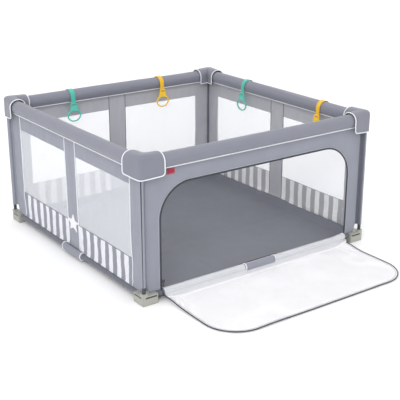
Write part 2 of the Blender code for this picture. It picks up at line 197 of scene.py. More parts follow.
def striped_cloth(name, light, dark, waver_size):
    """Upright stripes along the side's own X axis, with a slight hand-sewn waver."""
    made, tree, shader = principled(name, Roughness=0.8, Sheen_Weight=0.2, Sheen_Roughness=0.5)
    split = tree.nodes.new("ShaderNodeSeparateXYZ")
    tree.links.new(object_place(tree), split.inputs[0])
    waver = texture(tree, "ShaderNodeTexNoise", Scale=13.0, Detail=2.0)
    shift = math_node(tree, "MULTIPLY", math_node(tree, "SUBTRACT", waver.outputs["Fac"], 0.5), waver_size)
    along = math_node(tree, "ADD", split.outputs["X"], shift)
    turns = math_node(tree, "MULTIPLY", along, math.tau / STRIPE_PERIOD)
    wave = math_node(tree, "COSINE", turns)
    share = math_node(tree, "MULTIPLY", wave, 9.0)
    colour = mix(tree, clamped(tree, math_node(tree, "ADD", share, 0.5)), dark, light)
    height = weave_height(tree, WEAVE_PITCH)
    thread = math_node(tree, "MULTIPLY", height, 0.10)
    dress(tree, shader, mix(tree, thread, colour, tuple(c * 0.8 for c in dark)), height, WEAVE_DEPTH)
    return made


def netting(name, colour, solid, across, pitch=0.0034):
    """Knitted net of the given solidity, with small round holes laid out across the given axes."""
    made, tree, shader = principled(name, Roughness=0.75, Sheen_Weight=0.2)
    split, flat = tree.nodes.new("ShaderNodeSeparateXYZ"), tree.nodes.new("ShaderNodeCombineXYZ")
    tree.links.new(object_place(tree), split.inputs[0])
    for axis, slot in zip(across, "XYZ"):
        tree.links.new(split.outputs[axis], flat.inputs[slot])
    room = f"{len(across)}D"
    holes = node(tree, "ShaderNodeTexVoronoi", voronoi_dimensions=room, Scale=1 / pitch, Randomness=0.12)
    tree.links.new(flat.outputs[0], holes.inputs["Vector"])
    distance = holes.outputs["Distance"]
    edge = math_node(tree, "SUBTRACT", distance, 0.36)
    thread = clamped(tree, math_node(tree, "MULTIPLY", edge, 9.0))
    alpha = math_node(tree, "ADD", math_node(tree, "MULTIPLY", thread, solid * 0.5), solid * 0.5)
    tree.links.new(alpha, shader.inputs["Alpha"])
    dress(tree, shader, mottle(tree, colour, 20.0, 0.03), distance, 0.0002)
    return made


def moulded(name, colour, roughness=0.45, grain=0.00006, scale=900.0, coat=0.0):
    """Moulded plastic with a fine grain."""
    made, tree, shader = principled(name, Roughness=roughness, Coat_Weight=coat, Coat_Roughness=0.15)
    fine = texture(tree, "ShaderNodeTexNoise", Scale=scale, Detail=2.0)
    dress(tree, shader, mottle(tree, colour, 22.0, 0.06), fine.outputs["Fac"], grain)
    return made


def steel(name, colour):
    """Painted or plated metal, faintly drawn."""
    made, tree, shader = principled(name, Roughness=0.32, Metallic=0.6, Coat_Weight=0.3)
    drawn = texture(tree, "ShaderNodeTexNoise", Scale=260.0, Detail=3.0)
    dress(tree, shader, mottle(tree, colour, 35.0, 0.12), drawn.outputs["Fac"], 0.00008)
    return made


def zip_teeth(name, colour):
    """Dark coil with a fine rib for each tooth."""
    made, tree, shader = principled(name, Roughness=0.42)
    rib = texture(tree, "ShaderNodeTexWave", bands_direction="DIAGONAL", Scale=120.0)
    shade = mix(tree, rib.outputs["Fac"], tuple(c * 0.5 for c in colour), colour)
    dress(tree, shader, shade, rib.outputs["Fac"], 0.0004)
    return made


MATERIALS = {
    "panel": cloth("panel_cloth_look", (0.268, 0.282, 0.335)),
    # Lighter copy of the panel cloth for the inner faces: painted light on the pen's inside.
    "panel_inside_painted_light": cloth("panel_cloth_inside_painted_light_look", (0.46, 0.463, 0.50)),
    "pad": cloth("pad_cloth_look", (0.215, 0.222, 0.272)),
    "cap": cloth("cap_cloth_look", (0.20, 0.207, 0.255)),
    "sleeve": cloth("sleeve_cloth_look", (0.118, 0.124, 0.158)),
    # Near-black cloth for the dark inner seams and a post sleeve's slit fold, and painted shade in the feet's
    # slots.
    "lining": cloth("dark_seam_and_painted_shade_look", (0.045, 0.048, 0.06), amount=0.05),
    "patch": cloth("patch_cloth_look", (0.24, 0.25, 0.30)),
    "mat": cloth("mat_cloth_look", (0.152, 0.159, 0.192), 0.002, 0.08, roughness=0.7, sheen=0.15),
    "stripes": striped_cloth("striped_cloth_look", (0.80, 0.81, 0.85), (0.23, 0.24, 0.29), 0.024),
    # Lighter copy of the striped cloth for the inner faces: painted light on the pen's inside.
    "stripes_inside_painted_light": striped_cloth("striped_cloth_inside_painted_light_look", (0.92, 0.92, 0.93), (0.41, 0.415, 0.44), 0.010),
    "net": netting("netting_look", (0.90, 0.92, 0.97), 0.44, "XZ"),
    "root_net": netting("root_netting_look", (0.86, 0.87, 0.91), 0.58, "XYZ"),
    "flap_net": netting("flap_netting_look", (0.95, 0.95, 0.97), 0.80, "XYZ"),
    "piping": cloth("piping_look", (0.84, 0.85, 0.89), pitch=0.0012, amount=0.03, roughness=0.7),
    "star": cloth("star_cloth_look", (0.82, 0.82, 0.85), amount=0.04),
    "binding": cloth("binding_look", (0.50, 0.51, 0.55)),
    "zipper": zip_teeth("zipper_look", (0.045, 0.05, 0.062)),
    "label": cloth("label_look", (0.38, 0.006, 0.042), pitch=0.0011, amount=0.12),
    "label_patch": cloth("label_patch_look", (0.78, 0.30, 0.36), pitch=0.0011, amount=0.1),
    "teal_web": cloth("teal_webbing_look", (0.075, 0.50, 0.40), pitch=0.0018, amount=0.08),
    "yellow_web": cloth("yellow_webbing_look", (0.86, 0.50, 0.01), pitch=0.0018, amount=0.08),
    "teal": moulded("teal_plastic_look", (0.075, 0.52, 0.41), 0.32, coat=0.4),
    "yellow": moulded("yellow_plastic_look", (0.88, 0.53, 0.008), 0.32, coat=0.4),
    "moulding": moulded("foot_plastic_look", (0.35, 0.355, 0.32), 0.5, grain=0.0001, scale=700.0),
    "steel": steel("tube_paint_look", (0.055, 0.06, 0.07)),
    "zinc": steel("zinc_look", (0.07, 0.07, 0.08)),
    "thread": cloth("thread_look", (0.60, 0.61, 0.66), pitch=0.001, amount=0.03),
}


# Mesh tools

def linked(item):
    """The object, put into the scene."""
    bpy.context.scene.collection.objects.link(item)
    return item


def mesh_of(name, points, faces, skins=None):
    """A smooth-shaded mesh; skins gives each face's material number."""
    mesh = bpy.data.meshes.new(name)
    mesh.from_pydata([tuple(p) for p in points], [], faces)
    if skins is not None:
        mesh.polygons.foreach_set("material_index", skins)
    mesh.shade_smooth()
    return mesh


def mesh_from(bm, name):
    """The bmesh as a new mesh; the bmesh itself is freed."""
    mesh = bpy.data.meshes.new(name)
    bm.to_mesh(mesh)
    bm.free()
    return mesh


def add_box(bm, size, centre=(0.0, 0.0, 0.0)):
    """A box in the bmesh."""
    verts = bmesh.ops.create_cube(bm, size=1.0)["verts"]
    bmesh.ops.scale(bm, vec=size, verts=verts)
    bmesh.ops.translate(bm, vec=centre, verts=verts)


def grid_faces(rows, columns):
    """Faces of a grid of points that lie row by row."""
    corners = [j * columns + i for j in range(rows - 1) for i in range(columns - 1)]
    return [(a, a + 1, a + 1 + columns, a + columns) for a in corners]


def tube_faces(rings, around):
    """Faces of a tube of points that lie ring by ring, with its two ends closed."""
    faces = []
    for i in range(rings - 1):
        for k in range(around):
            a, b = i * around + k, i * around + (k + 1) % around
            faces.append((a, b, b + around, a + around))
    faces.append(tuple(reversed(range(around))))
    faces.append(tuple((rings - 1) * around + k for k in range(around)))
    return faces


def add(name, mesh, skins, turn=0, body="frame", stands_for=(), at=(0.0, 0.0, 0.0)):
    """A piece at its place on the front side, turned to its own side, riding on a body if one is given."""
    spin = Matrix.Rotation(math.radians(turn), 4, "Z")
    item = linked(bpy.data.objects.new(name, mesh))
    item.matrix_world = spin @ Matrix.Translation(at)
    for skin in ([skins] if isinstance(skins, str) else skins):
        item.data.materials.append(MATERIALS[skin])
    if body:
        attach(item, body)
    if stands_for:
        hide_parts(*stands_for)
    return item


def made_solid(mesh, thickness, offset=0.0, rounds=0):
    """The mesh, subdivided that many times and then thickened to a closed sheet if it has a thickness."""
    item = linked(bpy.data.objects.new("work", mesh))
    if rounds:
        rounder = item.modifiers.new("rounder", "SUBSURF")
        rounder.levels = rounder.render_levels = rounds
        rounder.boundary_smooth = "PRESERVE_CORNERS"
    if thickness:
        shell = item.modifiers.new("shell", "SOLIDIFY")
        shell.thickness = thickness
        shell.offset = offset
    return applied(item)


def lined(mesh, outer_count, inner_skins):
    """The closed sheet with other materials on its inner faces, which follow the outer ones."""
    for face in mesh.polygons[outer_count:2 * outer_count]:
        face.material_index = inner_skins[face.material_index]
    return mesh


def applied(item):
    """The evaluated mesh of a work object, which is then removed."""
    bpy.context.view_layer.update()
    graph = bpy.context.evaluated_depsgraph_get()
    mesh = bpy.data.meshes.new_from_object(item.evaluated_get(graph))
    bpy.data.objects.remove(item, do_unlink=True)
    mesh.shade_smooth()
    return mesh


def spread(*stops_and_counts):
    """Values from stop to stop, with that many steps between each two."""
    values = [stops_and_counts[0]]
    for count, stop in zip(stops_and_counts[1::2], stops_and_counts[2::2]):
        start = values[-1]
        values += [start + (stop - start) * (i + 1) / count for i in range(count)]
    return values


def arc(centre, radius, start, end, steps):
    """Points of an arc between two angles in degrees."""
    points = []
    for i in range(steps + 1):
        angle = math.radians(start + (end - start) * i / steps)
        points.append((centre[0] + radius * math.cos(angle), centre[1] + radius * math.sin(angle)))
    return points


def sweep(paths, radius, closed=False, sides=8):
    """Round cord along each path, as one mesh; its rings are carried along without twisting."""
    points, faces = [], []
    for path in paths:
        path = [Vector(p) for p in path]
        count = len(path)
        normal = None
        first = len(points)
        for i, here in enumerate(path):
            before = path[i - 1] if closed or i else path[0]
            after = path[(i + 1) % count] if closed or i < count - 1 else path[-1]
            along = (after - before).normalized()
            if normal is None:
                normal = along.orthogonal().normalized()
            normal = (normal - along * normal.dot(along)).normalized()
            other = along.cross(normal)
            for k in range(sides):
                angle = math.tau * k / sides
                points.append(here + radius * (math.cos(angle) * normal + math.sin(angle) * other))
        faces += [tuple(first + n for n in face) for face in tube_faces(count, sides)]
        if closed:
            faces[-2:] = closing_faces(points, first, count, sides)
    return mesh_of("cord", points, faces)


def closing_faces(points, first, count, sides):
    """Faces from the last ring of a closed cord to its first, allowing for how far the rings have turned."""
    last = first + (count - 1) * sides
    gaps = [(points[last] - points[first + k]).length for k in range(sides)]
    shift = gaps.index(min(gaps))
    faces = []
    for a in range(sides):
        b = (a + 1) % sides
        faces.append((last + a, last + b, first + (b + shift) % sides, first + (a + shift) % sides))
    return faces


def smooth(t):
    """From 0 to 1 with a soft start and a soft end."""
    t = max(0.0, min(1.0, t))
    return t * t * (3 - 2 * t)


def wrinkle(point, scale, seed):
    """Smooth noise from -1 to 1 at a point."""
    return noise.noise(Vector(point) * scale + Vector((seed, seed * 0.7, -seed)))


def simulate(mesh, frames, cap, pins=None, pressure=0.0, slack=0.0, gravity=0.0):
    """Lets the mesh settle as cloth, moving no point further than cap; pins has each point's hold."""
    item = linked(bpy.data.objects.new("settling", mesh))
    before = np.array([v.co for v in mesh.vertices])
    fabric = item.modifiers.new("cloth", "CLOTH")
    fabric.settings.quality = 6
    fabric.settings.mass = 0.2
    fabric.settings.tension_stiffness = fabric.settings.compression_stiffness = 30
    fabric.settings.bending_stiffness = 0.4
    fabric.settings.shrink_min = -slack
    fabric.settings.effector_weights.gravity = gravity
    fabric.settings.use_pressure = pressure > 0
    fabric.settings.uniform_pressure_force = pressure
    fabric.collision_settings.use_collision = False
    if pins is not None:
        group = item.vertex_groups.new(name="pins")
        for i, hold in enumerate(pins):
            group.add([i], hold, "REPLACE")
        fabric.settings.vertex_group_mass = "pins"
    fabric.point_cache.frame_start, fabric.point_cache.frame_end = 1, frames
    for step in range(1, frames + 1):
        bpy.context.scene.frame_set(step)
    graph = bpy.context.evaluated_depsgraph_get()
    after = np.array([v.co for v in item.evaluated_get(graph).to_mesh().vertices])
    item.evaluated_get(graph).to_mesh_clear()
    bpy.context.scene.frame_set(1)
    move = after - before
    length = np.linalg.norm(move, axis=1, keepdims=True)
    move *= np.minimum(1.0, cap / np.maximum(length, 1e-9))
    mesh.vertices.foreach_set("co", (before + move).ravel())
    mesh.update()
    bpy.data.objects.remove(item, do_unlink=True)
    return mesh


# Rails

def soft_tube(xs, radius_at, sides=32):
    """Closed tube along X with a radius for each place and angle."""
    points = []
    for x in xs:
        for k in range(sides):
            angle = math.tau * (k + 0.5) / sides
            r = radius_at(x, angle)
            points.append((x, r * math.cos(angle), r * math.sin(angle)))
    faces = [(face[0], *reversed(face[1:])) for face in tube_faces(len(xs), sides)]
    return mesh_of("tube", points, faces)


def rail_pad_mesh(seed):
    """Foam pad with a flat underside and faint pulls, tighter toward the caps."""
    def radius_at(x, angle):
        r = PAD_R - 0.0012
        r += 0.0006 * wrinkle((x * 3, math.cos(angle), math.sin(angle)), 1.6, seed)
        pull = 0.0005 * wrinkle((x * 26, math.cos(angle) * 0.7, math.sin(angle) * 0.7), 1.0, seed + 5)
        near_end = max(0.0, (abs(x) - 0.40) / 0.17)
        r += pull * (0.4 + 1.6 * near_end)
        down = max(0.01, -math.sin(angle))
        return min(r, PAD_FLAT / down)
    mesh = soft_tube(spread(-PAD_HALF, 76, PAD_HALF), radius_at, 36)
    simulate(mesh, 12, 0.0012, pressure=2.0)
    return made_solid(mesh, 0.0, rounds=1)


def bottom_sleeve_mesh(seed):
    """Thin fabric round a bottom rail, a little puckered along it."""
    def radius_at(x, angle):
        pull = wrinkle((x * 16, math.cos(angle), math.sin(angle)), 1.1, seed)
        return SLEEVE_R - 0.0006 + 0.0009 * pull
    places = spread(-BOTTOM_SLEEVE_HALF, 90, BOTTOM_SLEEVE_HALF)
    return made_solid(soft_tube(places, radius_at, 20), 0.0, rounds=1)


def patch_radius(full, angle):
    """Radius of a patch round the rail: full outside, and thinner over the top and on the inner side."""
    return full * (1 - 0.38 * smooth((math.cos(angle) + 0.55) / 0.9))


def patch_mesh(seed):
    """Padded wrap over the joint in a bottom rail."""
    shoulder = 0.009

    def radius_at(x, angle):
        end = min(1.0, (PATCH_HALF - abs(x)) / shoulder)
        full = patch_radius(PATCH_R - 0.0015, angle)
        crown = SLEEVE_R + 0.0015
        crown += max(0.0, full - crown) * math.sqrt(max(0.0, 1 - (1 - end) ** 2))
        fold = wrinkle((x * 9, math.cos(angle), math.sin(angle)), 1.3, seed)
        return crown + 0.0012 * fold
    flat = PATCH_HALF - shoulder
    mesh = soft_tube(spread(-PATCH_HALF, 8, -flat, 18, flat, 8, PATCH_HALF), radius_at, 28)
    simulate(mesh, 14, 0.0015, pressure=3.0)
    return made_solid(mesh, 0.0, rounds=1)


def patch_hoop(x, sides=28):
    """Line of the piping round one end of a patch."""
    points = []
    for k in range(sides):
        angle = math.tau * k / sides
        r = max(SLEEVE_R + 0.002, patch_radius(PATCH_R - 0.0035, angle))
        points.append((x, r * math.cos(angle), r * math.sin(angle)))
    return points


def build_rails():
    """Pads on the top rails; sleeves and patches on the bottom ones. The front patch is in panel cloth."""
    for number, (side, turn) in enumerate(SIDES.items()):
        top, bottom = (0.0, -RAIL_LINE, TOP_Z), (0.0, -RAIL_LINE, BOTTOM_Z)
        pad = add(f"rail_pad_{side}_cover", rail_pad_mesh(3.1 + number), "pad", turn,
                  stands_for=[f"rail_pad_{side}"], at=top)
        add(f"bottom_sleeve_{side}_cover", bottom_sleeve_mesh(8.3 + number), "sleeve", turn,
            stands_for=[f"bottom_sleeve_{side}"], at=bottom)
        skin = "panel" if side == "front" else "patch"
        wrap = add(f"bottom_patch_{side}", patch_mesh(14.9 + number), skin, turn,
                   at=bottom)
        ends = [patch_hoop(x) for x in (-PATCH_HALF + 0.003, PATCH_HALF - 0.003)]
        add(f"bottom_patch_{side}_piping", sweep(ends, PIPING_R, closed=True), "piping", turn, at=bottom)


# Panels

def edge_half(z):
    """Half width of a panel, which is cut away at its lower corners."""
    cut = max(0.0, (CUT_TOP - z) / (CUT_TOP - PANEL_FOOT))
    return PANEL_HALF - CUT_WIDTH * cut


def foot_height(x):
    """Lower edge of a panel, which rides up over the patch on the rail."""
    ramp, rise = 0.02, 0.0050
    return PANEL_FOOT + rise * smooth((PATCH_HALF + ramp - abs(x)) / ramp)


def window_panel_skin(x, z):
    """The number of the cloth at a place on the panel: 0 plain, 1 net, 2 striped."""
    if x > WINDOW_OUTER or z > WINDOW_TOP or x < STRIP_HALF:
        return 0
    return 2 if z < BAND_TOP else 1


def window_panel_mesh(seed):
    """Sheet with two net windows, a middle strip and a striped band."""
    xs = spread(-PANEL_HALF, 5, -WINDOW_OUTER, 34, -STRIP_HALF, 8,
                STRIP_HALF, 34, WINDOW_OUTER, 5, PANEL_HALF)
    zs = spread(PANEL_FOOT, 5, CUT_TOP, 7, BAND_TOP, 24, WINDOW_TOP, 6, PANEL_TOP)
    points, pins, skins = [], [], []
    for z in zs:
        for x in xs:
            strip = max(0.0, abs(x) - WINDOW_OUTER) / (PANEL_HALF - WINDOW_OUTER)
            px = math.copysign(min(abs(x), WINDOW_OUTER) + strip * (edge_half(z) - WINDOW_OUTER), x)
            low = max(0.0, 1 - (z - PANEL_FOOT) / (BAND_TOP - PANEL_FOOT))
            pz = z + low * (foot_height(x) - PANEL_FOOT)
            py = 0.0015 * wrinkle((px, 0, pz), 6.0, seed)
            band = max(0.0, 1 - abs(z - 0.115) / 0.07)
            py += 0.0045 * band * wrinkle((px * 3.2, 0, pz * 0.8), 6.0, seed + 3) * (1 - strip)
            points.append((px, py, pz))
            held = z in (zs[0], zs[-1]) or abs(x) > PANEL_HALF - 1e-6
            pins.append(1.0 if held else 0.35 * strip)
    for below, above in zip(zs, zs[1:]):
        for left, right in zip(xs, xs[1:]):
            skins.append(window_panel_skin(abs(left + right) / 2, (below + above) / 2))
    mesh = mesh_of("panel", points, grid_faces(len(zs), len(xs)), skins)
    simulate(mesh, 20, 0.0035, pins, slack=0.0012, gravity=1.0)
    return mesh


def panel_depth_at(mesh, x, z):
    """How far the settled panel stands from its plane near a point."""
    best = min(mesh.vertices, key=lambda v: (v.co.x - x) ** 2 + (v.co.z - z) ** 2)
    return best.co.y


def on_panel(mesh, path, lift):
    """Points given as (x, z), laid on the panel at that distance from it."""
    return [(x, panel_depth_at(mesh, x, z) + lift, z) for x, z in path]


def star_mesh(mesh, outer=0.051, inner=0.0235, centre_z=0.170):
    """Padded five-pointed star, a little broad, sewn to the outside of the panel."""
    broad, low, bevel = 1.10, 0.90, 0.93
    edge_height, peak_height = 0.0032, 0.0062
    rim = []
    for k in range(10):
        r = outer if k % 2 == 0 else inner
        angle = math.pi / 2 + math.tau * k / 10
        rim.append((broad * r * math.cos(angle), centre_z + low * r * math.sin(angle)))
    face_y = panel_depth_at(mesh, 0.0, centre_z) - 0.0012
    points = [(x, face_y, z) for x, z in rim]
    points += [(x * bevel, face_y - edge_height, centre_z + (z - centre_z) * bevel) for x, z in rim]
    points += [(0.0, face_y - peak_height, centre_z), (0.0, face_y, centre_z)]
    faces = []
    for k in range(10):
        after = (k + 1) % 10
        faces += [(k, after, 10 + after, 10 + k), (10 + k, 10 + after, 20), (after, k, 21)]
    made = mesh_of("star", points, faces)
    made.shade_flat()
    return made


def build_window_panels():
    """The three sides with windows; their piping, seams, hem and star follow the settled cloth."""
    place = (0.0, -RAIL_LINE, 0.0)
    for number, side in enumerate(("right", "back", "left")):
        turn = SIDES[side]
        flat = window_panel_mesh(21.0 + 4 * number)
        lines = []
        for x in (-WINDOW_OUTER, WINDOW_OUTER, -STRIP_HALF, STRIP_HALF):
            lines.append([(x, z) for z in spread(foot_height(x) + 0.002, 26, PANEL_TOP - 0.002)])
        piping = sweep([on_panel(flat, line, -0.0016) for line in lines], 0.0021)
        seams = sweep([on_panel(flat, line, 0.0012) for line in lines[2:]], 0.0012, sides=6)
        top_edge = [(x, BAND_TOP) for x in spread(-WINDOW_OUTER, 80, WINDOW_OUTER)]
        hem = sweep([on_panel(flat, top_edge, -0.0010)], 0.0013, sides=6)
        star = star_mesh(flat)
        # Inner faces take the lighter copies of the panel and striped cloths: painted light on the pen's
        # inside.
        solid = lined(made_solid(flat, 0.0012, rounds=1), 4 * len(flat.polygons), {0: 3, 1: 1, 2: 4})
        skins = ["panel", "net", "stripes", "panel_inside_painted_light", "stripes_inside_painted_light"]
        panel = add(f"panel_{side}_cloth", solid, skins, turn,
                    stands_for=[f"side_panel_{side}"], at=place)
        add(f"panel_{side}_piping", piping, "piping", turn, at=place)
        add(f"panel_{side}_band_hem", hem, "sleeve", turn, at=place)
        add(f"panel_{side}_inner_seams", seams, "lining", turn, at=place)
        add(f"panel_{side}_star", star, "star", turn, at=place)


def door_path(half, top, radius, foot, arc_steps=14):
    """The doorway's outline from its right foot over the top to its left foot."""
    right = [(half, z) for z in spread(foot, 4, CUT_TOP, 9, top - radius)][:-1]
    right += arc((half - radius, top - radius), radius, 0, 90, arc_steps)
    over = [(x, top) for x in spread(half - radius, 30, radius - half)][1:-1]
    return right + over + [(-x, z) for x, z in reversed(right)]


def door_outside(x, z):
    """The panel's edge point that faces a point of the doorway's outline."""
    centre = Vector((DOOR_HALF - DOOR_R, DOOR_TOP - DOOR_R))
    if z < centre.y:
        return math.copysign(edge_half(z), x), z
    if abs(x) < centre.x:
        return x, PANEL_TOP
    ray = Vector((abs(x), z)) - centre
    wide = (PANEL_HALF - centre.x) / ray.x if ray.x > 1e-9 else 1e9
    high = (PANEL_TOP - centre.y) / ray.y if ray.y > 1e-9 else 1e9
    reach = min(wide, high)
    return math.copysign(centre.x + ray.x * reach, x), centre.y + ray.y * reach


def door_panel_mesh():
    """The arch of cloth round the doorway, as strips from the doorway's edge to the panel's edge."""
    path = door_path(DOOR_HALF + 0.002, DOOR_TOP + 0.002, DOOR_R, PANEL_FOOT, 16)
    rows = 8
    points = []
    for x, z in path:
        ox, oz = door_outside(x, z)
        for k in range(rows + 1):
            t = k / rows
            px, pz = x + (ox - x) * t, z + (oz - z) * t
            soft = math.sin(math.pi * t) * 0.5 + 0.2
            points.append((px, 0.0022 * soft * wrinkle((px, 0, pz), 7.0, 51.0), pz))
    faces = grid_faces(len(path), rows + 1)
    solid = made_solid(mesh_of("door_panel", points, faces), 0.0014, rounds=1)
    return lined(solid, 4 * len(faces), {0: 1})


def build_door_panel():
    place = (0.0, -RAIL_LINE, 0.0)
    # The arch's inner faces take the lighter copy of the panel cloth: painted light on the pen's inside.
    panel = add("panel_front_cloth", door_panel_mesh(), ["panel", "panel_inside_painted_light"],
                stands_for=["side_panel_front"], at=place)
    teeth = door_path(DOOR_HALF + ZIP_OUT, DOOR_TOP + ZIP_OVER, DOOR_R, PANEL_FOOT)
    edge = [(x, ZIP_FRONT, z) for x, z in teeth]
    add("zipper_panel_teeth", sweep([edge], 0.0034, sides=8), "zipper", at=place)
    stitches = door_path(DOOR_HALF + 0.011, DOOR_TOP + 0.011, DOOR_R + 0.01, PANEL_FOOT)
    seam = [(x, -0.0012, z) for x, z in stitches]
    add("zipper_panel_seam", sweep([seam], 0.0007, sides=5), "thread", at=place)


def build_pad_piping():
    """Piping along both lower edges of each top rail's pad."""
    half, out, height = 0.565, 0.0172, TOP_Z - PAD_FLAT + 0.0012
    for name, y in (("outer", -out), ("inner", out)):
        line = [(x, y, height) for x in spread(-half, 60, half)]
        for side, turn in SIDES.items():
            add(f"pad_piping_{side}_{name}", sweep([line], 0.0027), "piping", turn, at=(0.0, -RAIL_LINE, 0.0))


# Corners

def cap_section(distance):
    """Half width, top, bottom and shoulder radius of a cap at a distance along its leg."""
    t = min(1.0, max(0.0, distance / CAP_REACH))
    lift = max(0.0, (distance - (CAP_REACH - CAP_LIP)) / CAP_LIP)
    bottom = CAP_FOOT + 0.010 * t + 0.008 * (1 - math.sqrt(max(0.0, 1 - lift ** 2)))
    half = 0.0285 + 0.0125 * min(1.0, t * 1.15)
    shoulder = 0.017 + 0.020 * t
    return half, CAP_TOP - 0.003 * t, bottom, shoulder


def cap_arch(half, top, bottom, shoulder, steps=7):
    """The section's points from the outer hem over the top to the inner hem."""
    outer = arc((half - shoulder, top - shoulder), shoulder, 0, 90, steps)
    inner = arc((shoulder - half, top - shoulder), shoulder, 90, 180, steps)
    rise = [(half, z) for z in spread(bottom, 5, top - shoulder)][:-1]
    fall = [(-half, z) for z in spread(top - shoulder, 5, CAP_INNER)][1:]
    return rise + outer + inner + fall


def cap_grid():
    """Loops of points from the cuff on the front rail, round the corner, to the cuff on the left rail."""
    pivot, power = CAP_PIVOT, 9.0          # the higher the power, the squarer the corner
    leg, bend = [], []
    for distance in spread(CAP_REACH, 9, pivot)[:-1]:
        leg.append([(distance, -out, z) for out, z in cap_arch(*cap_section(distance))])
    for step in range(13):
        angle = math.radians(90 * step / 12)
        c, s = math.cos(angle), math.sin(angle)
        square = (c ** power + s ** power) ** (-1 / power)
        section = cap_section(pivot * (1 - 0.9 * math.sin(2 * angle)))
        loop = []
        for out, z in cap_arch(*section):
            r = (pivot + out) * square
            loop.append((pivot - r * s, pivot - r * c, z))
        bend.append(loop)
    other_leg = [[(y, x, z) for x, y, z in loop] for loop in reversed(leg)]
    return leg + bend + other_leg


def cap_meshes(seed):
    """The cap's shell and the piping along its whole hem."""
    loops = cap_grid()
    count = len(loops[0])
    points = []
    for loop in loops:
        for x, y, z in loop:
            dent = 0.0011 * wrinkle((x, y, z), 22.0, seed)
            points.append((x + dent, y + dent, z + 0.5 * dent))
    faces = grid_faces(len(loops), count)
    rows = [points[i * count:(i + 1) * count] for i in range(len(loops))]
    hem = [row[0] for row in rows] + rows[-1][1:]
    hem += [row[-1] for row in reversed(rows[:-1])] + list(reversed(rows[0][1:-1]))
    shell = made_solid(mesh_of("cap", points, faces), 0.0026, offset=-1.0, rounds=1)
    return lined(shell, 4 * len(faces), {0: 1}), sweep([hem], PIPING_R, closed=True)


def post_sleeve_outline(slit):
    """Points round the sleeve for a slit of that half angle, and the material number of each face."""
    r, slit_depth = 0.0102, 0.0024
    near = arc((0.0, 0.0), r, 12, 114, 7)
    face = arc((0.0, 0.0), r, 114, 180 - slit, 5)[1:]
    fold = arc((0.0, 0.0), r - slit_depth, 180 - 0.6 * slit, 180 + 0.6 * slit, 2)
    web = [(0.0175, -0.0014), (0.0180, -0.0055), (0.0225, -0.0052)]
    half = near + face
    outline = half + fold + [(x, -y) for x, y in reversed(half)] + web + [(x, -y) for x, y in reversed(web)]
    # Material 2 puts the near-black cloth on the slit's fold: it stands for the dark tube there, with painted
    # shade in the slit.
    skins = [0] * 7 + [1] * 5 + [2] * 4 + [1] * 5 + [0] * 14
    return outline, skins


def post_sleeve_mesh(seed):
    """Sleeve round a post, slit down its corner, with a web running in to the panels."""
    low, high, rows = 0.084, 0.573, 60
    diagonal = Matrix.Rotation(math.radians(45), 2)
    points = []
    for j in range(rows + 1):
        t = j / rows
        z = low + (high - low) * t
        hem = 0.0006 * math.exp(-((t - 0.012) / 0.012) ** 2)
        outline, skins = post_sleeve_outline(7 + 10 * t)
        for a, b in outline:
            r = math.hypot(a, b)
            grow = 1 + (hem + 0.0004 * wrinkle((a * 8, b * 8, z * 3), 7.0, seed)) / max(r, 0.004)
            flat = diagonal @ Vector((a * grow, b * grow))
            points.append((flat.x, flat.y, z))
    faces = tube_faces(rows + 1, len(outline))
    mesh = mesh_of("post_sleeve", points, faces, skins[:len(outline)] * rows + [0, 0])
    mesh.set_sharp_from_angle(angle=math.radians(50))
    return mesh


def build_corners():
    """A cap over the pads' ends and a sleeve round the post, at each corner."""
    for number, (corner, turn) in enumerate(CORNERS.items()):
        at = (-RAIL_LINE, -RAIL_LINE, 0.0)
        shell, hem = cap_meshes(70.0 + 3 * number)
        cap = add(f"cap_{corner}_cover", shell, ["cap", "sleeve"], turn,
                  stands_for=[f"corner_cap_{corner}"], at=at)
        add(f"cap_{corner}_piping", hem, "piping", turn, at=at)
        # The back left sleeve's outer sides take the lighter panel cloth instead of the dark sleeve cloth:
        # painted light on that corner's sleeve.
        skins = ["panel" if corner == "back_left" else "sleeve", "panel", "lining"]
        add(f"post_sleeve_{corner}_cloth", post_sleeve_mesh(90.0 + number), skins, turn,
            stands_for=[f"post_sleeve_{corner}"], at=(-POST_LINE, -POST_LINE, 0.0))


# Floor mat

def mat_rise(out, along):
    """Height gained near a side, where the mat's skirt covers the rail or the thick patch on it."""
    over = smooth((PATCH_HALF + 0.035 - abs(along)) / 0.03)
    start, run = 0.572 - 0.004 * over, 0.031
    return (0.0285 + 0.0050 * over) * smooth((out - start) / run)


def build_mat():
    """Padded mat with a soft crown and faint folds; its skirt runs up over the rails to the panels."""
    body, reach, door_reach, cells, top = 0.5868, 0.6108, 0.604, 92, 0.0185
    corner, corner_top, underside = 0.553, 0.030, 0.0008
    bm = bmesh.new()
    bmesh.ops.create_grid(bm, x_segments=cells, y_segments=cells, size=reach)
    for v in bm.verts:
        x, y = v.co.x, v.co.y
        fold = sum(math.exp(-((abs(c) - body / 3) / 0.006) ** 2) for c in (x, y))
        rise = max(mat_rise(abs(x), y), mat_rise(abs(y), x))
        z = top + rise - 0.0014 * fold + 0.0016 * wrinkle((x, y, 0), 4.0, 33.0)
        v.co.z = z + 0.0006 * wrinkle((x, y, 0), 19.0, 34.0)
        v.co.y = max(v.co.y, -door_reach)
        if min(abs(x), abs(y)) > corner:
            v.co.x, v.co.y = max(-body, min(body, x)), max(-body, min(body, y))
            v.co.z = min(v.co.z, corner_top)
    under = bmesh.ops.extrude_face_region(bm, geom=bm.faces[:])
    for v in [g for g in under["geom"] if isinstance(g, bmesh.types.BMVert)]:
        v.co = (max(-body, min(body, v.co.x)), max(-body, min(body, v.co.y)), underside)
    bmesh.ops.recalc_face_normals(bm, faces=bm.faces)
    mesh = mesh_from(bm, "mat")
    mesh.shade_smooth()
    mesh.set_sharp_from_angle(angle=math.radians(60))
    mat = add("floor_mat_cover", mesh, "mat", stands_for=["floor_mat"])


# Door flap

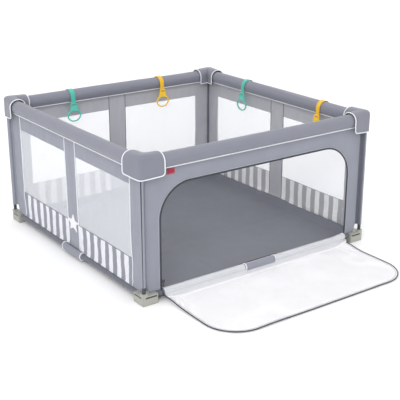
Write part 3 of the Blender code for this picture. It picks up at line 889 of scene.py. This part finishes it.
def flap_half(v):
    """The flap's half width at a distance from its root."""
    into = max(0.0, v - (FLAP_LENGTH - FLAP_R))
    return FLAP_HALF - FLAP_R + math.sqrt(max(0.0, FLAP_R ** 2 - into ** 2))


def flap_lift(x, v):
    """Height of the flap over the floor: small waves, more at its edges, and raised root corners."""
    wave = 0.5 + 0.5 * wrinkle((x * 1.4, v, 0), 5.0, 61.0)
    edge = math.exp(-((flap_half(v) - abs(x)) / 0.03) ** 2) + math.exp(-((FLAP_LENGTH - v) / 0.03) ** 2)
    corner = smooth((abs(x) - 0.43) / 0.09) ** 2 * math.exp(-(v / 0.07) ** 2)
    return 0.0030 + 0.0035 * wave ** 2 + 0.002 * min(1.0, edge) * wave + 0.012 * corner


def flap_point(t, v):
    """A point of the flap at a share of its half width and a distance from its root."""
    x = t * flap_half(v)
    return x, FLAP_ROOT - v, flap_lift(x, v)


def root_point(t, row):
    """A point of the gathered net between the bottom rail and the flap's root; row 0 is on the rail."""
    x = t * FLAP_HALF
    gather = 0.0016 * wrinkle((x * 7, 0, 0), 3.0, 66.0)
    at_end = max(0.0, (abs(x) - 0.455) / 0.065)
    if x < 0:
        at_end *= 0.35          # leaves room for the zipper slider when the door is shut
    pleat = at_end * (0.55 + 0.45 * math.sin(abs(x) * 620.0))
    flare = math.copysign(0.009 * at_end ** 2, x)
    if row <= ROOT_WRAP:
        angle = math.radians(62 + 143 * row / ROOT_WRAP)
        reach = SLEEVE_R + 0.0016 + 0.4 * abs(gather)
        y, z = reach * math.cos(angle) - RAIL_LINE, reach * math.sin(angle) + BOTTOM_Z
        top = 1 - row / ROOT_WRAP
        return x + flare, y - 0.0015 * pleat, z + (0.008 * at_end ** 2) * top
    rail_x, rail_y, rail_z = root_point(t, ROOT_WRAP)
    step = (row - ROOT_WRAP) / (ROOT_ROWS - ROOT_WRAP)
    y = rail_y + (FLAP_ROOT - rail_y) * step
    z = rail_z + (flap_lift(x, 0.0) - rail_z) * (1 - (1 - step) ** 1.7)
    bulge = math.sin(math.pi * step)
    return rail_x + (x - rail_x) * step, y, z + (gather + 0.010 * pleat) * bulge


def flap_mesh():
    """The flap and the gathered net that joins it to the bottom rail, as one sheet."""
    vs = spread(0.0, 20, FLAP_LENGTH - FLAP_R, 14, FLAP_LENGTH - 0.012, 6, FLAP_LENGTH)
    ts = spread(-1.0, 14, -0.86, 76, 0.86, 14, 1.0)
    points = [root_point(t, row) for row in range(ROOT_ROWS) for t in ts]
    points += [flap_point(t, v) for v in vs for t in ts]
    rows = ROOT_ROWS + len(vs)
    faces = [(a, d, c, b) for a, b, c, d in grid_faces(rows, len(ts))]
    skins = [1 if j < ROOT_ROWS - 3 else 0 for j in range(rows - 1) for _ in ts[1:]]
    return made_solid(mesh_of("flap", points, faces, skins), 0.0010)


def flap_edge(inset):
    """Line along the flap's zipped edge, that far in from it."""
    side = [(FLAP_HALF - inset, v) for v in spread(0.0, 18, FLAP_LENGTH - FLAP_R)][:-1]
    corner = arc((FLAP_HALF - FLAP_R, FLAP_LENGTH - FLAP_R), FLAP_R - inset, 0, 90, 16)
    front = [(x, FLAP_LENGTH - inset) for x in spread(FLAP_HALF - FLAP_R, 20, 0.0)][1:]
    right = side + corner + front
    flat = right + [(-x, v) for x, v in reversed(right[:-1])]
    return [(x, FLAP_ROOT - v, flap_lift(x, v)) for x, v in flat]


def raised(path, by):
    """The path, higher by that much."""
    return [(x, y, z + by) for x, y, z in path]


def zipper_tails():
    """The two ends of the zipper, from the flap's root corners up to the doorway's feet."""
    tails = []
    for side in (-1, 1):
        low = Vector((side * FLAP_HALF, FLAP_ROOT - 0.001, flap_lift(FLAP_HALF, 0.0) + 0.001))
        high = Vector((side * (DOOR_HALF + ZIP_OUT), -RAIL_LINE + ZIP_FRONT, PANEL_FOOT + 0.002))
        bend = Vector((side * (DOOR_HALF + 0.0015), -0.634, 0.022))
        path = []
        for i in range(13):
            t = i / 12
            path.append(low * (1 - t) ** 2 + bend * (2 * t * (1 - t)) + high * t ** 2)
        tails.append(path)
    return sweep(tails, ZIP_R, sides=8)


def build_flap():
    """The door's flap with its half of the zipper. The net and the zipper's ends bend at the rail."""
    flap = add("door_flap_net", flap_mesh(), ["flap_net", "root_net"], body=None,
               stands_for=["door_flap"])
    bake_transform(flap)
    teeth = sweep([raised(flap_edge(0.0010), 0.0008)], ZIP_R, sides=8)
    add("zipper_flap_teeth", teeth, "zipper", body="door_flap")
    tape = sweep([raised(flap_edge(0.0105), 0.0008)], 0.0013, sides=6)
    add("zipper_flap_binding", tape, "binding", body="door_flap")
    tails = add("zipper_tails", zipper_tails(), "zipper", body=None)
    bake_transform(tails)


# Straps and rings

def ribbon(path, widths, thickness):
    """Flat webbing along a path of (y, z) points, with softly rounded edges."""
    count = len(path)
    points = []
    for i, (y, z) in enumerate(path):
        before, after = path[max(0, i - 1)], path[min(count - 1, i + 1)]
        along = Vector((after[0] - before[0], after[1] - before[1])).normalized()
        across = Vector((-along.y, along.x))
        half, rim = widths[i] / 2, thickness / 2
        flat = half - rim
        section = [(-half, 0), (-flat, rim), (flat, rim), (half, 0), (flat, -rim), (-flat, -rim)]
        for x, out in section:
            points.append((x, y + across.x * out, z + across.y * out))
    mesh = mesh_of("ribbon", points, tube_faces(count, 6))
    mesh.set_sharp_from_angle(angle=math.radians(60))
    return mesh


def strap_mesh():
    """Webbing over the pad and down its inner side, folded round the ring's bar."""
    r = PAD_R + 0.0012
    over = arc((0.0, 0.0), r, 235, 0, 34)
    down = [(r + 0.0002, -0.010), (r + 0.0006, -0.020), (r + 0.0012, -0.029)]
    eye = arc((RING_IN, -RING_BELOW), 0.0037, 180, 500, 14)
    path = over + down + eye
    widths = [0.0300 - 0.0040 * min(1.0, i / 34) for i in range(len(path))]
    return ribbon(path, widths, 0.0019)


def oval(wide, tall, start, end, steps):
    """Points of a ring's oval, measured from its pivot."""
    return [(wide * x, tall * y - RING_DROP) for x, y in arc((0.0, 0.0), 1.0, start, end, steps)]


def ring_outline():
    """Neck and ring, as one closed line round the outside."""
    neck = [(0.0160, 0.0018), (0.0172, 0.0002), (0.0175, -0.0100), (0.0187, -0.0190), (0.0213, -0.0290)]
    return [(-x, y) for x, y in neck[::-1]] + neck + oval(RING_WIDE, RING_TALL, 56, -236, 60)


def ring_mesh():
    """Flat ring with rounded edges; the hole and the strap's slot are cut through."""
    curve = bpy.data.curves.new("ring", "CURVE")
    curve.dimensions = "2D"
    curve.fill_mode = "BOTH"
    curve.extrude, curve.bevel_depth, curve.bevel_resolution = RING_EDGE, RING_EDGE, 3
    bar = RING_BAR - RING_EDGE
    hole = oval(RING_WIDE - bar, RING_TALL - bar, 0, 354, 59)
    wide, low, high = 0.0135, -0.0088 - RING_EDGE, -0.0016 + RING_EDGE
    slot = [(-wide, low), (wide, low), (wide, high), (-wide, high)]
    narrow, short = 1 - RING_EDGE / RING_WIDE, 1 - RING_EDGE / 0.05
    outside = [(x * narrow, y * short) for x, y in ring_outline()]
    for line in (outside, hole, slot):
        spline = curve.splines.new("POLY")
        spline.points.add(len(line) - 1)
        for point, (x, y) in zip(spline.points, line):
            point.co = (x, y, 0.0, 1.0)
        spline.use_cyclic_u = True
    mesh = applied(linked(bpy.data.objects.new("ring", curve)))
    bm = bmesh.new()
    bm.from_mesh(mesh)
    bpy.data.meshes.remove(mesh)
    bmesh.ops.remove_doubles(bm, verts=bm.verts, dist=0.00005)
    bmesh.ops.rotate(bm, verts=bm.verts, matrix=Matrix.Rotation(math.radians(90), 3, "X"))
    bmesh.ops.recalc_face_normals(bm, faces=bm.faces)
    mesh = mesh_from(bm, "ring")
    mesh.shade_smooth()
    mesh.set_sharp_from_angle(angle=math.radians(50))
    return mesh


def build_rings():
    """Each strap on its pad, and the ring that swings in the strap's eye."""
    for name, (side, along, colour) in RINGS.items():
        turn = SIDES[side]
        add(f"strap_{name}_webbing", strap_mesh(), f"{colour}_web", turn,
            stands_for=[f"strap_{name}"], at=(along, -RAIL_LINE, TOP_Z))
        pivot = (along, -RAIL_LINE + RING_IN, TOP_Z - RING_BELOW)
        add(f"ring_{name}_body", ring_mesh(), colour, turn, body=f"pull_ring_{name}",
            stands_for=[f"pull_ring_{name}"], at=pivot)


# Small pieces

def build_tag():
    """Plain red tag under the front pad, with a stitched rim."""
    wide, tall, stitch_inset, front = 0.038, 0.024, 0.003, -0.0008
    bm = bmesh.new()
    add_box(bm, (wide, 0.0012, tall))
    bmesh.ops.bevel(bm, geom=bm.edges[:], offset=0.0005, segments=2, affect="EDGES")
    mesh = mesh_from(bm, "tag")
    place = (-0.476, -RAIL_LINE - 0.0030, TOP_Z - 0.041 - tall / 2)
    add("side_tag_cloth", mesh, "label", stands_for=["side_tag"], at=place)
    x, z = wide / 2 - stitch_inset, tall / 2 - stitch_inset
    rim = [(-x, front, -z), (x, front, -z), (x, front, z), (-x, front, z)]
    add("side_tag_stitching", sweep([rim], 0.0004, closed=True, sides=5), "label_patch", at=place)


def dress_cad_nodes():
    """Materials for the hard pieces whose CAD shape stays."""
    for name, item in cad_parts.items():
        skin = "steel"
        if name.startswith(("foot_bracket", "top_connector")):
            skin = "moulding"
        elif name == "zipper_slider":
            skin = "zinc"
        item.data.materials.clear()
        item.data.materials.append(MATERIALS[skin])


def build_slot_painted_shades():
    """Near-black sheets deep in the slots of the foot brackets: painted shade inside the slots."""
    out, near, far, height = 0.6315, 0.5655, 0.6205, 0.03575
    long, thin, tall, middle = far - near, 0.0006, 0.0070, -(near + far) / 2
    for corner, turn in CORNERS.items():
        bm = bmesh.new()
        add_box(bm, (long, thin, tall), (middle, -out, height))
        add_box(bm, (thin, long, tall), (-out, middle, height))
        # Each near-black sheet paints the shade inside a slot.
        add(f"foot_{corner}_slot_painted_shade", mesh_from(bm, "slot_painted_shades"), "lining", turn)


# Studio

def build_floor():
    """Pale plain floor, just under the feet."""
    bm = bmesh.new()
    bmesh.ops.create_grid(bm, x_segments=1, y_segments=1, size=40.0)
    floor = linked(bpy.data.objects.new("floor", mesh_from(bm, "floor")))
    floor.location.z = -0.0002
    paint, tree, shader = principled("floor_paint", Roughness=0.9)
    tree.links.new(mottle(tree, (0.95, 0.95, 0.955), 2.0, 0.01), shader.inputs["Base Color"])
    floor.data.materials.append(paint)


def build_lights():
    """White surroundings, a large key light from the front left and a weak one overhead."""
    world = bpy.data.worlds.new("studio")
    world.use_nodes = True
    background = world.node_tree.nodes["Background"]
    background.inputs["Color"].default_value = (1.0, 1.0, 1.0, 1.0)
    background.inputs["Strength"].default_value = 1.06
    bpy.context.scene.world = world
    aim = Vector((0.0, 0.0, 0.2))
    lamps = [
        ("key", (-4.9, -5.0, 4.4), 4.0, 200.0),
        ("top", (0.3, 0.6, 4.5), 5.0, 24.0),
    ]
    for name, place, size, power in lamps:
        light = bpy.data.lights.new(name, "AREA")
        light.shape, light.size, light.energy = "DISK", size, power
        lamp = linked(bpy.data.objects.new(name, light))
        lamp.location = place
        lamp.rotation_euler = (aim - Vector(place)).to_track_quat("-Z", "Y").to_euler()


def build_camera():
    """Camera above the left front corner."""
    lens = bpy.data.cameras.new("camera")
    lens.lens, lens.sensor_width = 81.0, 36.0
    lens.clip_end = 200.0
    camera = linked(bpy.data.objects.new("camera", lens))
    camera.location = (-2.40867, -3.50566, 1.68275)
    forward = Vector((0.54944, 0.76421, -0.33778))
    camera.rotation_euler = forward.to_track_quat("-Z", "Y").to_euler()
    bpy.context.scene.camera = camera


bpy.context.scene.view_settings.view_transform = "Standard"
build_floor()
build_lights()
build_camera()
dress_cad_nodes()
build_rails()
build_window_panels()
build_door_panel()
build_pad_piping()
build_corners()
build_mat()
build_flap()
build_rings()
build_tag()
build_slot_painted_shades()
